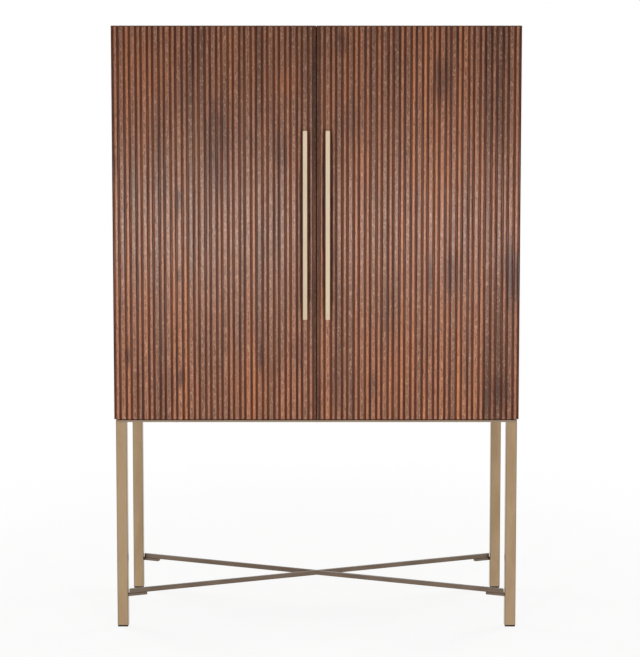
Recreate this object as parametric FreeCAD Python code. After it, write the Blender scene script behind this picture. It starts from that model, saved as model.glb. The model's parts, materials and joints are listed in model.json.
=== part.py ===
import FreeCAD, Part
import math
import os

from FreeCAD import Placement, Rotation, Vector

# Bar cabinet: a wooden case with two reeded doors on a square-tube stand with a crossed brace.
# Millimetres. +X is right as seen from the front, +Y is to the back, +Z is up.
# The origin is on the floor under the middle of the whole piece, handles included.

# Overall sizes; the depth runs from the rib crests to the back
OVERALL_WIDTH = 940.0
OVERALL_HEIGHT = 1400.0
CASE_DEPTH = 400.0
BASE_HEIGHT = 490.0
CUT_OVERRUN = 2.0

# Doors: every rib has round shoulders, which turn from the crest down to the groove,
# and a wide rib has a flat between them
DOOR_THICKNESS = 25.0
DOOR_CENTRE_GAP = 2.0
DOOR_FOOT_GAP = 2.0
DOOR_BACK_GAP = 1.5
RIB_RADIUS = 5.5
RIB_SHOULDER_TURN = math.radians(75)
SHOULDER_ARC_SHARES = (0, 0.5, 1)
WIDE_RIB_FLAT = 2.8
EDGE_RIB = 2.5
GROOVE_TARGET = 1.2

# Handles
HANDLE_LENGTH = 432.0
HANDLE_SECTION = 10.0
HANDLE_STANDOFF = 25.0
HANDLE_POST_INSET = 40.0
HANDLE_CENTRE_DROP = 456.0

# Lift-off butt hinges, two to a door: the door's knuckle stands on the case's one
HINGE_LENGTH = 90.0
HINGE_END_INSET = 110.0
HINGE_EDGE_COVER = 0.2
HINGE_SIDE_GAP = 1.8
LEAF_THICKNESS = 2.0
LEAF_INNER_MARGIN = 2.8
MORTISE_CLEARANCE = 0.2
KNUCKLE_RADIUS = 3.0
KNUCKLE_GAP = 0.4
KNUCKLE_END_GAP = 0.3
KNUCKLE_COUNT = 2
PIN_RADIUS = 1.6
PIN_RUNNING_CLEARANCE = 0.05

# Case boards
PANEL_THICKNESS = 20.0
BACK_THICKNESS = 6.0
BACK_REBATE = 10.0
HOUSING_DEPTH = 6.0

# Shelves and divider
LOWER_BAY_HEIGHT = 300.0
SHELF_THICKNESS = 20.0
SHELF_SETBACK = 25.0
DIVIDER_THICKNESS = 20.0
LOOSE_SHELF_THICKNESS = 18.0
LOOSE_SHELF_SETBACK = 45.0
LOOSE_SHELF_GAP = 0.8
SHELF_PIN_RADIUS = 2.5
SHELF_PIN_CLEARANCE = 0.05
SHELF_PIN_DEPTH = 9.0
SHELF_PIN_PAD_LENGTH = 10.0
SHELF_PIN_PAD_WIDTH = 8.0
SHELF_PIN_PAD_HEIGHT = 5.0
SHELF_PIN_PLACE_SHARES = (0.15, 0.85)

# Bottle rests: necks lie in the front rests, bodies in the rear ones
BOTTLES_PER_TIER = 4
BOTTLE_TIERS = ("lower", "upper")
BOTTLE_TIER_PITCH = 125.0
BOTTLE_AXIS_RISE = 58.0
BOTTLE_NECK_RADIUS = 18.0
BOTTLE_BODY_RADIUS = 42.0
FRONT_REST_DROP = 6.0
REAR_REST_DROP = 20.0
REST_THICKNESS = 18.0
REST_FRONT_SETBACK = 30.0
REST_SPACING = 210.0

# Stemware rails: T-shaped, a glass foot slides above the flanges of two neighbours
STEM_RAIL_COUNT = 4
STEM_RAIL_PITCH = 100.0
STEM_RAIL_LENGTH = 300.0
STEM_RAIL_SETBACK = 30.0
STEM_RAIL_SIDE_INSET = 60.0
STEM_RAIL_FLANGE_WIDTH = 70.0
STEM_RAIL_FLANGE_THICKNESS = 8.0
STEM_RAIL_WEB_WIDTH = 14.0
STEM_RAIL_WEB_HEIGHT = 22.0

# Magnetic catch, strike plates and bumpers
CATCH_WIDTH = 88.0
CATCH_DEPTH = 18.0
CATCH_HEIGHT = 16.0
STRIKE_WIDTH = 34.0
STRIKE_HEIGHT = 14.0
STRIKE_CENTRE = 25.0
CLOSED_CLEARANCE = 0.2
BUMPER_SIZE = 10.0
BUMPER_CENTRE = 80.0

# Metal stand
LEG_SECTION = 25.0
LEG_WALL = 2.0
LEG_CORNER_RADIUS = 1.2
LEG_SIDE_INSET = 3.0
LEG_FRONT_SETBACK = 4.5
RAIL_THICKNESS = 5.0
GLIDE_HEIGHT = 4.0
GLIDE_INSET = 0.6
GLIDE_PLUG_HEIGHT = 16.0
GLIDE_PLUG_CLEARANCE = 0.2

# Crossed brace and its tabs
BRACE_SECTION = 10.0
BRACE_UNDERSIDE = 77.0
BRACE_END_GAP = 2.0
TAB_LENGTH = 44.0
TAB_WIDTH = 12.0
TAB_THICKNESS = 6.0

# Planes and edges worked out from the sizes above
HALF_WIDTH = OVERALL_WIDTH / 2
HANDLE_PROJECTION = HANDLE_STANDOFF + HANDLE_SECTION
HANDLE_FRONT = -(CASE_DEPTH + HANDLE_PROJECTION) / 2
CREST = HANDLE_FRONT + HANDLE_PROJECTION
BACK = CREST + CASE_DEPTH
DOOR_BACK = CREST + DOOR_THICKNESS
CASE_FRONT = DOOR_BACK + DOOR_BACK_GAP
BAY_BACK = BACK - BACK_THICKNESS
HINGE_INSET = KNUCKLE_RADIUS + HINGE_EDGE_COVER
CASE_HALF = HALF_WIDTH - HINGE_INSET - HINGE_SIDE_GAP
BAY_HALF = CASE_HALF - PANEL_THICKNESS
BAY_FLOOR = BASE_HEIGHT + PANEL_THICKNESS
BAY_CEILING = OVERALL_HEIGHT - PANEL_THICKNESS
SHELF_UNDERSIDE = BAY_FLOOR + LOWER_BAY_HEIGHT
SHELF_FRONT = CASE_FRONT + SHELF_SETBACK
LOOSE_SHELF_UNDERSIDE = BAY_FLOOR + (LOWER_BAY_HEIGHT - LOOSE_SHELF_THICKNESS) / 2
DOOR_BOTTOM = BASE_HEIGHT + DOOR_FOOT_GAP
HINGE_X = HALF_WIDTH - HINGE_INSET
HINGE_Y = (DOOR_BACK + CASE_FRONT) / 2
LEAF_EDGE = BAY_HALF + LEAF_INNER_MARGIN
KNUCKLE_RELIEF = KNUCKLE_RADIUS + KNUCKLE_GAP
RAIL_UNDERSIDE = BASE_HEIGHT - RAIL_THICKNESS
LEG_OUTSIDE = HALF_WIDTH - LEG_SIDE_INSET
LEG_INSIDE = LEG_OUTSIDE - LEG_SECTION
FRONT_LEG_FACE = CREST + LEG_FRONT_SETBACK
REAR_LEG_FACE = BACK - LEG_SECTION

# Rib pattern: a wide rib ends at the centre gap, narrow and wide ribs take turns after it,
# and the outer edge leaves only the start of the next wide rib
RIB_SHOULDER = RIB_RADIUS * math.sin(RIB_SHOULDER_TURN)
NARROW_RIB = RIB_SHOULDER * 2
WIDE_RIB = NARROW_RIB + WIDE_RIB_FLAT
EDGE_RIB_TURN = math.asin((RIB_SHOULDER - EDGE_RIB) / RIB_RADIUS)
FIRST_FOOT = DOOR_CENTRE_GAP / 2 + RIB_SHOULDER
RIB_RUN = HALF_WIDTH - EDGE_RIB - FIRST_FOOT - NARROW_RIB
RIB_PAIRS = round((RIB_RUN - GROOVE_TARGET * 2) / (WIDE_RIB + NARROW_RIB + GROOVE_TARGET * 2))
GROOVE = (RIB_RUN - RIB_PAIRS * (WIDE_RIB + NARROW_RIB)) / (RIB_PAIRS * 2 + 2)
HANDLE_X = FIRST_FOOT + NARROW_RIB + GROOVE * 2 + WIDE_RIB / 2
HANDLE_TOP = OVERALL_HEIGHT - HANDLE_CENTRE_DROP + HANDLE_LENGTH / 2
HANDLE_BOTTOM = HANDLE_TOP - HANDLE_LENGTH

UP = Vector(0, 0, 1)
RIGHT = Vector(1, 0, 0)
LEFT = Vector(-1, 0, 0)
TO_BACK = Vector(0, 1, 0)


def box(x0, x1, y0, y1, z0, z1):
    """Block between two corners."""
    return Part.makeBox(x1 - x0, y1 - y0, z1 - z0, Vector(x0, y0, z0))


def mirrored(shape):
    """Left-hand copy of a right-hand shape."""
    return shape.mirror(Vector(0, 0, 0), RIGHT)


def between(low, high, shares):
    """Places at the given shares of a run."""
    return [low + (high - low) * share for share in shares]


def shoulder(crest_end, side, start_turn=0):
    """Three points of a rib's shoulder in plan, from the crest or a turn below it down to the groove."""
    turns = between(start_turn, RIB_SHOULDER_TURN, SHOULDER_ARC_SHARES)
    return [Vector(crest_end + side * RIB_RADIUS * math.sin(turn),
                   CREST + RIB_RADIUS - RIB_RADIUS * math.cos(turn), 0) for turn in turns]


def rib_edges(start, flat):
    """Plan of one rib: shoulder up, flat crest on a wide rib, shoulder down."""
    rise = shoulder(start + RIB_SHOULDER, -1)[::-1]
    fall = shoulder(start + RIB_SHOULDER + flat, 1)
    edges = [Part.Arc(*rise).toShape()]
    if flat:
        edges.append(Part.LineSegment(rise[-1], fall[0]).toShape())
    edges.append(Part.Arc(*fall).toShape())
    return edges, fall[-1]


def reeded_panel():
    """Right door without its hinge pockets, in one outline: a wide rib's shoulder falls from the gap, narrow
    and wide ribs follow by turns, and the outer edge cuts off the next wide rib."""
    fall = shoulder(DOOR_CENTRE_GAP / 2, 1)
    rise = shoulder(HALF_WIDTH - EDGE_RIB + RIB_SHOULDER, -1, EDGE_RIB_TURN)[::-1]
    edges = [Part.Arc(*fall).toShape()]
    foot = fall[-1]
    for number in range(RIB_PAIRS * 2 + 1):
        start = foot + RIGHT * GROOVE
        edges.append(Part.LineSegment(foot, start).toShape())
        rib, foot = rib_edges(start.x, WIDE_RIB_FLAT if number % 2 else 0)
        edges += rib
    edges += [Part.LineSegment(foot, rise[0]).toShape(), Part.Arc(*rise).toShape()]
    back_corners = [rise[-1], Vector(rise[-1].x, DOOR_BACK, 0), Vector(fall[0].x, DOOR_BACK, 0), fall[0]]
    edges += Part.makePolygon(back_corners).Edges
    panel = Part.Face(Part.Wire(edges)).extrude(UP * (OVERALL_HEIGHT - DOOR_BOTTOM))
    panel.translate(Vector(0, 0, DOOR_BOTTOM))
    return panel


def hinge_bottoms():
    """Heights where the lower and upper hinges of a door start."""
    return {"lower": DOOR_BOTTOM + HINGE_END_INSET,
            "upper": OVERALL_HEIGHT - HINGE_END_INSET - HINGE_LENGTH}


def on_hinge_axis(bottom, radius, overhang):
    """Round bar on the hinge axis, longer than the hinge by an overhang at each end."""
    return Part.makeCylinder(radius, HINGE_LENGTH + overhang * 2,
                             Vector(HINGE_X, HINGE_Y, bottom - overhang))


def hinge_leaf(bottom, front, back, first_knuckle):
    """Leaf plate with every other knuckle of the barrel, bored for the pin."""
    plate_end = HINGE_X - KNUCKLE_RELIEF
    leaf = box(LEAF_EDGE, plate_end, front, back, bottom, bottom + HINGE_LENGTH)
    pitch = HINGE_LENGTH / KNUCKLE_COUNT
    for number in range(first_knuckle, KNUCKLE_COUNT, 2):
        low = bottom + number * pitch + KNUCKLE_END_GAP / 2
        high = low + pitch - KNUCKLE_END_GAP
        web = box(plate_end, HINGE_X, front, back, low, high)
        barrel = Part.makeCylinder(KNUCKLE_RADIUS, high - low, Vector(HINGE_X, HINGE_Y, low))
        leaf = leaf.fuse([web, barrel])
    bore = on_hinge_axis(bottom, PIN_RADIUS + PIN_RUNNING_CLEARANCE, CUT_OVERRUN)
    return leaf.cut(bore).removeSplitter()


def hinge_pocket(bottom, front, back):
    """Mortise for a leaf, and the round relief for the barrel."""
    mortise = box(LEAF_EDGE - MORTISE_CLEARANCE, HINGE_X, front, back,
                  bottom - MORTISE_CLEARANCE, bottom + HINGE_LENGTH + MORTISE_CLEARANCE)
    return [mortise, on_hinge_axis(bottom, KNUCKLE_RELIEF, KNUCKLE_GAP)]


def door_hinge_pockets():
    """Cuts in the right door for its hinges."""
    return [cut for bottom in hinge_bottoms().values()
            for cut in hinge_pocket(bottom, DOOR_BACK - LEAF_THICKNESS, DOOR_BACK + CUT_OVERRUN)]


def case_hinge_pockets():
    """Cuts in the right side panel for the hinges."""
    return [cut for bottom in hinge_bottoms().values()
            for cut in hinge_pocket(bottom, CASE_FRONT - CUT_OVERRUN, CASE_FRONT + LEAF_THICKNESS)]


def hinge_pieces():
    """Leaves and pins of the right door's hinges, by name without the side."""
    pieces = {}
    for name, bottom in hinge_bottoms().items():
        pieces["hinge_door_leaf_" + name] = hinge_leaf(bottom, DOOR_BACK - LEAF_THICKNESS, DOOR_BACK, 1)
        pieces["hinge_case_leaf_" + name] = hinge_leaf(bottom, CASE_FRONT, CASE_FRONT + LEAF_THICKNESS, 0)
        pieces["hinge_pin_" + name] = on_hinge_axis(bottom, PIN_RADIUS, 0)
    return pieces


def door_handle():
    """Right handle: a square bar on two posts that stand on the rib crests."""
    half = HANDLE_SECTION / 2
    bar_back = HANDLE_FRONT + HANDLE_SECTION
    handle = box(HANDLE_X - half, HANDLE_X + half, HANDLE_FRONT, bar_back, HANDLE_BOTTOM, HANDLE_TOP)
    for height in (HANDLE_BOTTOM + HANDLE_POST_INSET, HANDLE_TOP - HANDLE_POST_INSET):
        post = box(HANDLE_X - half, HANDLE_X + half, bar_back, CREST, height - half, height + half)
        handle = handle.fuse(post)
    return handle.removeSplitter()


def strike_plate():
    """Right strike plate on the back of the door, just clear of the catch."""
    middle = BAY_CEILING - CATCH_HEIGHT / 2
    return box(STRIKE_CENTRE - STRIKE_WIDTH / 2, STRIKE_CENTRE + STRIKE_WIDTH / 2,
               DOOR_BACK, CASE_FRONT - CLOSED_CLEARANCE,
               middle - STRIKE_HEIGHT / 2, middle + STRIKE_HEIGHT / 2)


def door_pieces():
    """Both doors with their handles and strike plates, by node name."""
    door = reeded_panel().cut(door_hinge_pockets())
    return on_both_sides({"door": [door], "handle": [door_handle()], "strike_plate": [strike_plate()]})


def on_both_sides(right):
    """Right-hand pieces and their left-hand copies, by node name."""
    pieces = {}
    for name, solids in right.items():
        pieces[name + "_right"] = solids
        pieces[name + "_left"] = [mirrored(solid) for solid in solids]
    return pieces


def rest_fronts():
    """Front faces of the front and rear bottle rests."""
    front = SHELF_FRONT + REST_FRONT_SETBACK
    return front, front + REST_SPACING


def bottle_rest(tier, front, radius, drop):
    """Rest board housed in divider and side, with a round scallop for each bottle."""
    low = BAY_FLOOR + tier * BOTTLE_TIER_PITCH
    axis_height = low + BOTTLE_AXIS_RISE
    start = DIVIDER_THICKNESS / 2
    board = box(start - HOUSING_DEPTH, BAY_HALF + HOUSING_DEPTH, front, front + REST_THICKNESS,
                low, axis_height - drop)
    pitch = (BAY_HALF - start) / BOTTLES_PER_TIER
    scallops = []
    for number in range(BOTTLES_PER_TIER):
        mouth = Vector(start + pitch * number + pitch / 2, front - CUT_OVERRUN, axis_height)
        scallops.append(Part.makeCylinder(radius, REST_THICKNESS + CUT_OVERRUN * 2, mouth, TO_BACK))
    return board.cut(scallops)


def bottle_rests():
    """Front and rear rests of every tier, by node name."""
    front, rear = rest_fronts()
    rests = {}
    for tier, tier_name in enumerate(BOTTLE_TIERS):
        name = "bottle_rest_" + tier_name
        rests[name + "_front"] = bottle_rest(tier, front, BOTTLE_NECK_RADIUS, FRONT_REST_DROP)
        rests[name + "_rear"] = bottle_rest(tier, rear, BOTTLE_BODY_RADIUS, REAR_REST_DROP)
    return rests


def shelf_pin_set():
    """Four pins that carry the loose shelf, and the holes they stand in."""
    axis_height = LOOSE_SHELF_UNDERSIDE - SHELF_PIN_PAD_HEIGHT / 2
    half_pad = SHELF_PIN_PAD_WIDTH / 2
    hole_radius = SHELF_PIN_RADIUS + SHELF_PIN_CLEARANCE
    pins = []
    holes = []
    for y in between(SHELF_FRONT, BAY_BACK, SHELF_PIN_PLACE_SHARES):
        for face, outward in ((-BAY_HALF, LEFT), (-DIVIDER_THICKNESS / 2, RIGHT)):
            centre = Vector(face, y, axis_height)
            peg = Part.makeCylinder(SHELF_PIN_RADIUS, SHELF_PIN_DEPTH, centre, outward)
            holes.append(Part.makeCylinder(hole_radius, SHELF_PIN_DEPTH, centre, outward))
            pad_start, pad_end = sorted((face, face - outward.x * SHELF_PIN_PAD_LENGTH))
            pad = box(pad_start, pad_end, y - half_pad, y + half_pad,
                      LOOSE_SHELF_UNDERSIDE - SHELF_PIN_PAD_HEIGHT, LOOSE_SHELF_UNDERSIDE)
            pins.append(pad.fuse(peg))
    return pins, holes


def loose_shelf():
    """Adjustable shelf in the left lower bay."""
    return box(-BAY_HALF + LOOSE_SHELF_GAP, -DIVIDER_THICKNESS / 2 - LOOSE_SHELF_GAP,
               CASE_FRONT + LOOSE_SHELF_SETBACK, BAY_BACK - LOOSE_SHELF_GAP,
               LOOSE_SHELF_UNDERSIDE, LOOSE_SHELF_UNDERSIDE + LOOSE_SHELF_THICKNESS)


def stem_rail(number):
    """T-shaped rail under the top."""
    centre = -BAY_HALF + STEM_RAIL_SIDE_INSET + number * STEM_RAIL_PITCH
    front = CASE_FRONT + STEM_RAIL_SETBACK
    flange_top = BAY_CEILING - STEM_RAIL_WEB_HEIGHT
    low = flange_top - STEM_RAIL_FLANGE_THICKNESS
    web = STEM_RAIL_WEB_WIDTH / 2
    flange = STEM_RAIL_FLANGE_WIDTH / 2
    corners = [(-flange, low), (flange, low), (flange, flange_top), (web, flange_top),
               (web, BAY_CEILING), (-web, BAY_CEILING), (-web, flange_top), (-flange, flange_top)]
    outline = [Vector(centre + x, front, z) for x, z in corners]
    section = Part.Face(Part.makePolygon(outline + outline[:1]))
    return section.extrude(TO_BACK * STEM_RAIL_LENGTH)


def door_catch():
    """Magnetic catch under the top, behind the meeting edges of the doors."""
    return box(-CATCH_WIDTH / 2, CATCH_WIDTH / 2, CASE_FRONT, CASE_FRONT + CATCH_DEPTH,
               BAY_CEILING - CATCH_HEIGHT, BAY_CEILING)


def door_bumpers():
    """Square bumpers on the front edges of top and bottom, two for each door."""
    half = BUMPER_SIZE / 2
    face = DOOR_BACK + CLOSED_CLEARANCE
    heights = (BASE_HEIGHT + PANEL_THICKNESS / 2, OVERALL_HEIGHT - PANEL_THICKNESS / 2)
    return [box(side * BUMPER_CENTRE - half, side * BUMPER_CENTRE + half, face, CASE_FRONT,
                height - half, height + half)
            for side in (-1, 1) for height in heights]


def case_boards():
    """Case boards by node name: sides, shelf and divider are housed, the back sits in a rebate."""
    rebate_half = BAY_HALF + BACK_REBATE
    back = box(-rebate_half, rebate_half, BAY_BACK, BACK, BAY_FLOOR - BACK_REBATE, BAY_CEILING + BACK_REBATE)
    side = box(BAY_HALF, CASE_HALF, CASE_FRONT, BACK, BAY_FLOOR - HOUSING_DEPTH, BAY_CEILING + HOUSING_DEPTH)
    sides = [side, mirrored(side)]
    top = box(-CASE_HALF, CASE_HALF, CASE_FRONT, BACK, BAY_CEILING, OVERALL_HEIGHT)
    bottom = box(-CASE_HALF, CASE_HALF, CASE_FRONT, BACK, BASE_HEIGHT, BAY_FLOOR)
    shelf = box(-BAY_HALF - HOUSING_DEPTH, BAY_HALF + HOUSING_DEPTH, SHELF_FRONT, BAY_BACK,
                SHELF_UNDERSIDE, SHELF_UNDERSIDE + SHELF_THICKNESS)
    divider = box(-DIVIDER_THICKNESS / 2, DIVIDER_THICKNESS / 2, SHELF_FRONT, BAY_BACK,
                  BAY_FLOOR - HOUSING_DEPTH, SHELF_UNDERSIDE + HOUSING_DEPTH)
    rests = bottle_rests()
    pin_holes = shelf_pin_set()[1]
    right_cuts = case_hinge_pockets()
    left_cuts = [mirrored(cut) for cut in right_cuts]
    return {
        "top_panel": top.cut(sides + [back]),
        "bottom_panel": bottom.cut(sides + [back, divider]),
        "side_panel_right": sides[0].cut([back, shelf] + right_cuts + list(rests.values())),
        "side_panel_left": sides[1].cut([back, shelf] + left_cuts + pin_holes),
        "back_panel": back,
        "fixed_shelf": shelf.cut(divider),
        "centre_divider": divider.cut(list(rests.values()) + pin_holes),
        **rests}


def case_pieces():
    """Case, shelves, bar fittings and what is fixed to them, by node name."""
    pieces = {name: [board] for name, board in case_boards().items()}
    pieces["shelf_pins"] = shelf_pin_set()[0]
    pieces["adjustable_shelf"] = [loose_shelf()]
    pieces["door_catch"] = [door_catch()]
    pieces["door_bumpers"] = door_bumpers()
    for number in range(STEM_RAIL_COUNT):
        pieces["stemware_rail_" + str(number + 1)] = [stem_rail(number)]
    return pieces


def leg(outside, front):
    """Square tube leg with eased corners, from its glide to the frame rail."""
    height = RAIL_UNDERSIDE - GLIDE_HEIGHT
    tube = Part.makeBox(LEG_SECTION, LEG_SECTION, height, Vector(outside, front, GLIDE_HEIGHT))
    upright = [edge for edge in tube.Edges if edge.Length == height]
    tube = tube.makeFillet(LEG_CORNER_RADIUS, upright)
    inner = LEG_SECTION - LEG_WALL * 2
    hollow = Part.makeBox(inner, inner, height + CUT_OVERRUN * 2,
                          Vector(outside + LEG_WALL, front + LEG_WALL, GLIDE_HEIGHT - CUT_OVERRUN))
    return tube.cut(hollow)


def glide(outside, front):
    """Square foot with a plug that goes up inside the tube."""
    plug_inset = LEG_WALL + GLIDE_PLUG_CLEARANCE
    foot_size = LEG_SECTION - GLIDE_INSET * 2
    plug_size = LEG_SECTION - plug_inset * 2
    foot = Part.makeBox(foot_size, foot_size, GLIDE_HEIGHT,
                        Vector(outside + GLIDE_INSET, front + GLIDE_INSET, 0))
    plug = Part.makeBox(plug_size, plug_size, GLIDE_PLUG_HEIGHT,
                        Vector(outside + plug_inset, front + plug_inset, GLIDE_HEIGHT))
    return foot.fuse(plug)


def frame_rails():
    """Flat rails on top of the legs: two full-width ones with the side rails between them."""
    front_end = FRONT_LEG_FACE + LEG_SECTION
    side = box(LEG_INSIDE, LEG_OUTSIDE, front_end, REAR_LEG_FACE, RAIL_UNDERSIDE, BASE_HEIGHT)
    front = box(-LEG_OUTSIDE, LEG_OUTSIDE, FRONT_LEG_FACE, front_end, RAIL_UNDERSIDE, BASE_HEIGHT)
    rear = box(-LEG_OUTSIDE, LEG_OUTSIDE, REAR_LEG_FACE, BACK, RAIL_UNDERSIDE, BASE_HEIGHT)
    return {"frame_rail_front": [front], "frame_rail_rear": [rear],
            "frame_rail_right": [side], "frame_rail_left": [mirrored(side)]}


def brace_bars(along, reach):
    """Crossed bars, cut off in line with the legs and halved over each other so that they lie flush."""
    half = BRACE_SECTION / 2
    top = BRACE_UNDERSIDE + BRACE_SECTION
    lap = BRACE_UNDERSIDE + half
    end = reach + BRACE_SECTION
    side = LEG_INSIDE - BRACE_END_GAP
    lower = box(-end, end, -half, half, BRACE_UNDERSIDE, lap)
    upper = box(-end, end, -half, half, lap, top)
    bar = box(-end, end, -half, half, BRACE_UNDERSIDE, top)
    for shape in (lower, upper, bar):
        shape.Placement = along
    bar = bar.common(box(-side, side, FRONT_LEG_FACE, BACK, BRACE_UNDERSIDE, top))
    return bar.cut(mirrored(lower)), mirrored(bar).cut(upper)


def brace_tab(along, reach, end):
    """Tab under one end of the first bar, cut off at the leg that it is welded to."""
    start, stop = sorted((end * (reach + TAB_WIDTH), end * (reach - TAB_LENGTH)))
    tab = box(start, stop, -TAB_WIDTH / 2, TAB_WIDTH / 2, BRACE_UNDERSIDE - TAB_THICKNESS, BRACE_UNDERSIDE)
    tab.Placement = along
    return tab.common(box(-LEG_INSIDE, LEG_INSIDE, FRONT_LEG_FACE, BACK, 0, BASE_HEIGHT))


def brace_pieces():
    """Crossed bars and the tabs that tie them to the legs, by node name."""
    front_y = FRONT_LEG_FACE + LEG_SECTION / 2
    rear_y = REAR_LEG_FACE + LEG_SECTION / 2
    slope = Vector(LEG_INSIDE, (rear_y - front_y) / 2, 0)
    along = Placement(Vector(0, (front_y + rear_y) / 2, 0), Rotation(RIGHT, slope))
    first, second = brace_bars(along, slope.Length)
    front_tab = brace_tab(along, slope.Length, -1)
    rear_tab = brace_tab(along, slope.Length, 1)
    return {"brace_bar_a": [first], "brace_bar_b": [second],
            "brace_tab_front_left": [front_tab], "brace_tab_front_right": [mirrored(front_tab)],
            "brace_tab_rear_right": [rear_tab], "brace_tab_rear_left": [mirrored(rear_tab)]}


def stand_pieces():
    """Legs, glides and frame rails, by node name."""
    right = {}
    for name, front in (("front", FRONT_LEG_FACE), ("rear", REAR_LEG_FACE)):
        right["leg_" + name] = [leg(LEG_INSIDE, front)]
        right["glide_" + name] = [glide(LEG_INSIDE, front)]
    return {**on_both_sides(right), **frame_rails()}


def main():
    """Build every piece and write one file for each node."""
    os.makedirs("parts", exist_ok=True)
    hinges = on_both_sides({name: [solid] for name, solid in hinge_pieces().items()})
    pieces = {**case_pieces(), **stand_pieces(), **brace_pieces(), **door_pieces(), **hinges}
    for name, solids in pieces.items():
        shape = solids[0] if len(solids) == 1 else Part.makeCompound(solids)
        shape.exportStep(os.path.join("parts", name + ".step"))


main()
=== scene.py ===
"""Looks of a bar cabinet: reeded wooden doors, square bar handles and a brassy tube stand.

Every piece is made in metres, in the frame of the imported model, and rides on one of its bodies.
"""
import json
import logging
import math
import random
from collections.abc import Callable, Iterable, Sequence
from dataclasses import dataclass
from enum import Enum

import bmesh
import bpy
from bmesh.types import BMEdge, BMesh, BMFace
from mathutils import Matrix, Vector


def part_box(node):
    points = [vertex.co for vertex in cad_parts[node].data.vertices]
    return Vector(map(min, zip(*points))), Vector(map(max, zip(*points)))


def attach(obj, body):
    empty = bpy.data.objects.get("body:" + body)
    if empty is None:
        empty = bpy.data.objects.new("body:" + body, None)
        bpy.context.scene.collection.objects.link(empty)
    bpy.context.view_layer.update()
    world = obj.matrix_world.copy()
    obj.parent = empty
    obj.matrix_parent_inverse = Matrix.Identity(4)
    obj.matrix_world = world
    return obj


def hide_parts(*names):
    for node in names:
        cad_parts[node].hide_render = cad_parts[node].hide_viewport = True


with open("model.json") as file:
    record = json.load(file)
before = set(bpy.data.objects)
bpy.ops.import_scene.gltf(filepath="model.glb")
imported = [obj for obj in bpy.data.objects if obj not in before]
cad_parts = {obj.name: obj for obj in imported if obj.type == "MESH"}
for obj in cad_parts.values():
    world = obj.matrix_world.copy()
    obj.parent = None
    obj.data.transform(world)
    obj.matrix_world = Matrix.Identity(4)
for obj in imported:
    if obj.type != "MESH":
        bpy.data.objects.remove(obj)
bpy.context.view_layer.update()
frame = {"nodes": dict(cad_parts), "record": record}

Colour = tuple[float, float, float, float]
Triple = tuple[float, float, float]
Socket = bpy.types.NodeSocket
Material = bpy.types.Material

LOG = logging.getLogger("bar_cabinet")
MM = 0.001
MERGE_DISTANCE = 0.002 * MM
FLAT_ANGLE = math.radians(1)
SHARP_ANGLE = math.radians(32)
UPRIGHT_RISE = 0.9
MOST_ROUND_CORNERS = 4
FULL_TURN = math.tau
QUARTER_TURN = math.pi / 2
WHITE: Colour = (1.0, 1.0, 1.0, 1.0)
SHEEN_DOORS = "doors_with_sheen"
BODY_OF = {node: body for body, nodes in frame["record"]["behaviour"]["bodies"].items() for node in nodes}
SLOT_OF = {part["node"]: part["material_slot"] for part in frame["record"]["subparts"]}


class Side(Enum):
    """A door's side, seen from the front."""

    LEFT = -1
    RIGHT = 1

    @property
    def word(self) -> str:
        """The side as it stands in the names of pieces."""
        return self.name.lower()

    @property
    def body(self) -> str:
        """The body that this side's door moves with."""
        return f"{self.word}_door"


class Lay(Enum):
    """How a piece lies: the object axes that run across its face, through it and along its fibres."""

    DOOR = ((1, 0, 0), (0, 1, 0), (0, 0, 1))
    SIDE = ((0, 1, 0), (-1, 0, 0), (0, 0, 1))
    SHELF = ((0, 1, 0), (0, 0, 1), (1, 0, 0))
    REST = ((0, 0, 1), (0, -1, 0), (1, 0, 0))
    RUNNER = ((1, 0, 0), (0, 0, -1), (0, 1, 0))

    @property
    def turn(self) -> Triple:
        """Euler angles that bring the piece's fibres onto the pattern's Z axis."""
        return tuple(Matrix(self.value).to_euler())


class Facing(Enum):
    """The way that a screw head looks."""

    FRONT = (0, -1, 0)
    BACK = (0, 1, 0)
    DOWN = (0, 0, -1)

    @property
    def axis(self) -> Vector:
        """The direction as a vector."""
        return Vector(self.value)


def srgb(red: int, green: int, blue: int) -> Colour:
    """Linear colour of three screen values from 0 to 255.

    Args:
        red: Red value.
        green: Green value.
        blue: Blue value.

    Returns:
        The linear colour with full alpha.
    """
    shares = (value / 255 for value in (red, green, blue))
    linear = (s / 12.92 if s <= 0.04045 else ((s + 0.055) / 1.055) ** 2.4 for s in shares)
    return (*linear, 1.0)


def shades(*rows: tuple[int, int, int]) -> tuple[Colour, ...]:
    """Linear colours of several rows of three screen values."""
    return tuple(srgb(*row) for row in rows)


@dataclass(frozen=True)
class NoisePattern:
    """How a noise repeats: times per metre across and along the fibres, its detail and distortion."""

    across: float
    along: float
    detail: float = 3.0
    distortion: float = 0.0


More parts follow.
